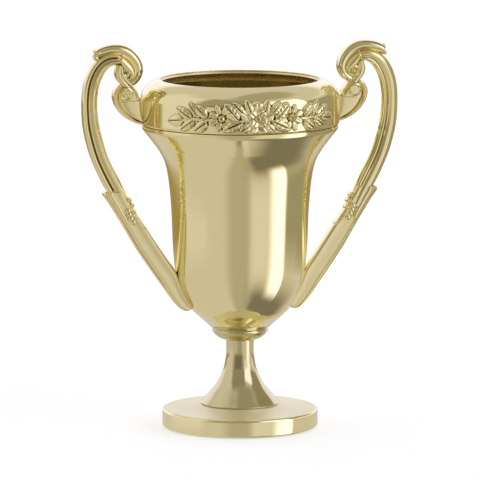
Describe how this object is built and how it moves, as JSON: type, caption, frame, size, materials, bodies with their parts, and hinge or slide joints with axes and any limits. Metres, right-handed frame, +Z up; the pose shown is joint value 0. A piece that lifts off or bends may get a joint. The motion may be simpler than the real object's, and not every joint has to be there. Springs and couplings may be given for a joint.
{
  "type": "cup trophy",
  "caption": "Small two-handled award cup: flared bowl with a flower-wreathed collar, scrolled handles, knop, slender stem and round foot.",
  "frame": {"origin": "on the ground at the middle of the foot's underside", "axes": "+Z up along the cup's axis; +X towards the right-hand handle, both handles in the XZ plane; -Y is the front that is pictured"},
  "size_m": [0.11, 0.0706, 0.1336],
  "materials": {
    "gold_plating": "vacuum-metallised pale gold, mirror gloss, over moulded ABS",
    "zinc_steel": "zinc-plated steel",
    "felt": "pressed black felt",
    "rubber": "matt black rubber"
  },
  "bodies": {
    "root": {"bowl": "gold_plating", "collar": "gold_plating", "handle_left": "gold_plating", "handle_right": "gold_plating", "knop": "gold_plating", "stem": "gold_plating", "foot": "gold_plating", "foot_weight": "zinc_steel", "base_pad": "felt", "tie_rod": "zinc_steel", "top_nut": "zinc_steel", "top_washer": "zinc_steel", "seal_washer": "rubber", "bottom_nut": "zinc_steel", "bottom_washer": "zinc_steel", "spring_washer": "zinc_steel", "handle_screws": "zinc_steel", "handle_washers": "zinc_steel"}
  },
  "joints": []
}
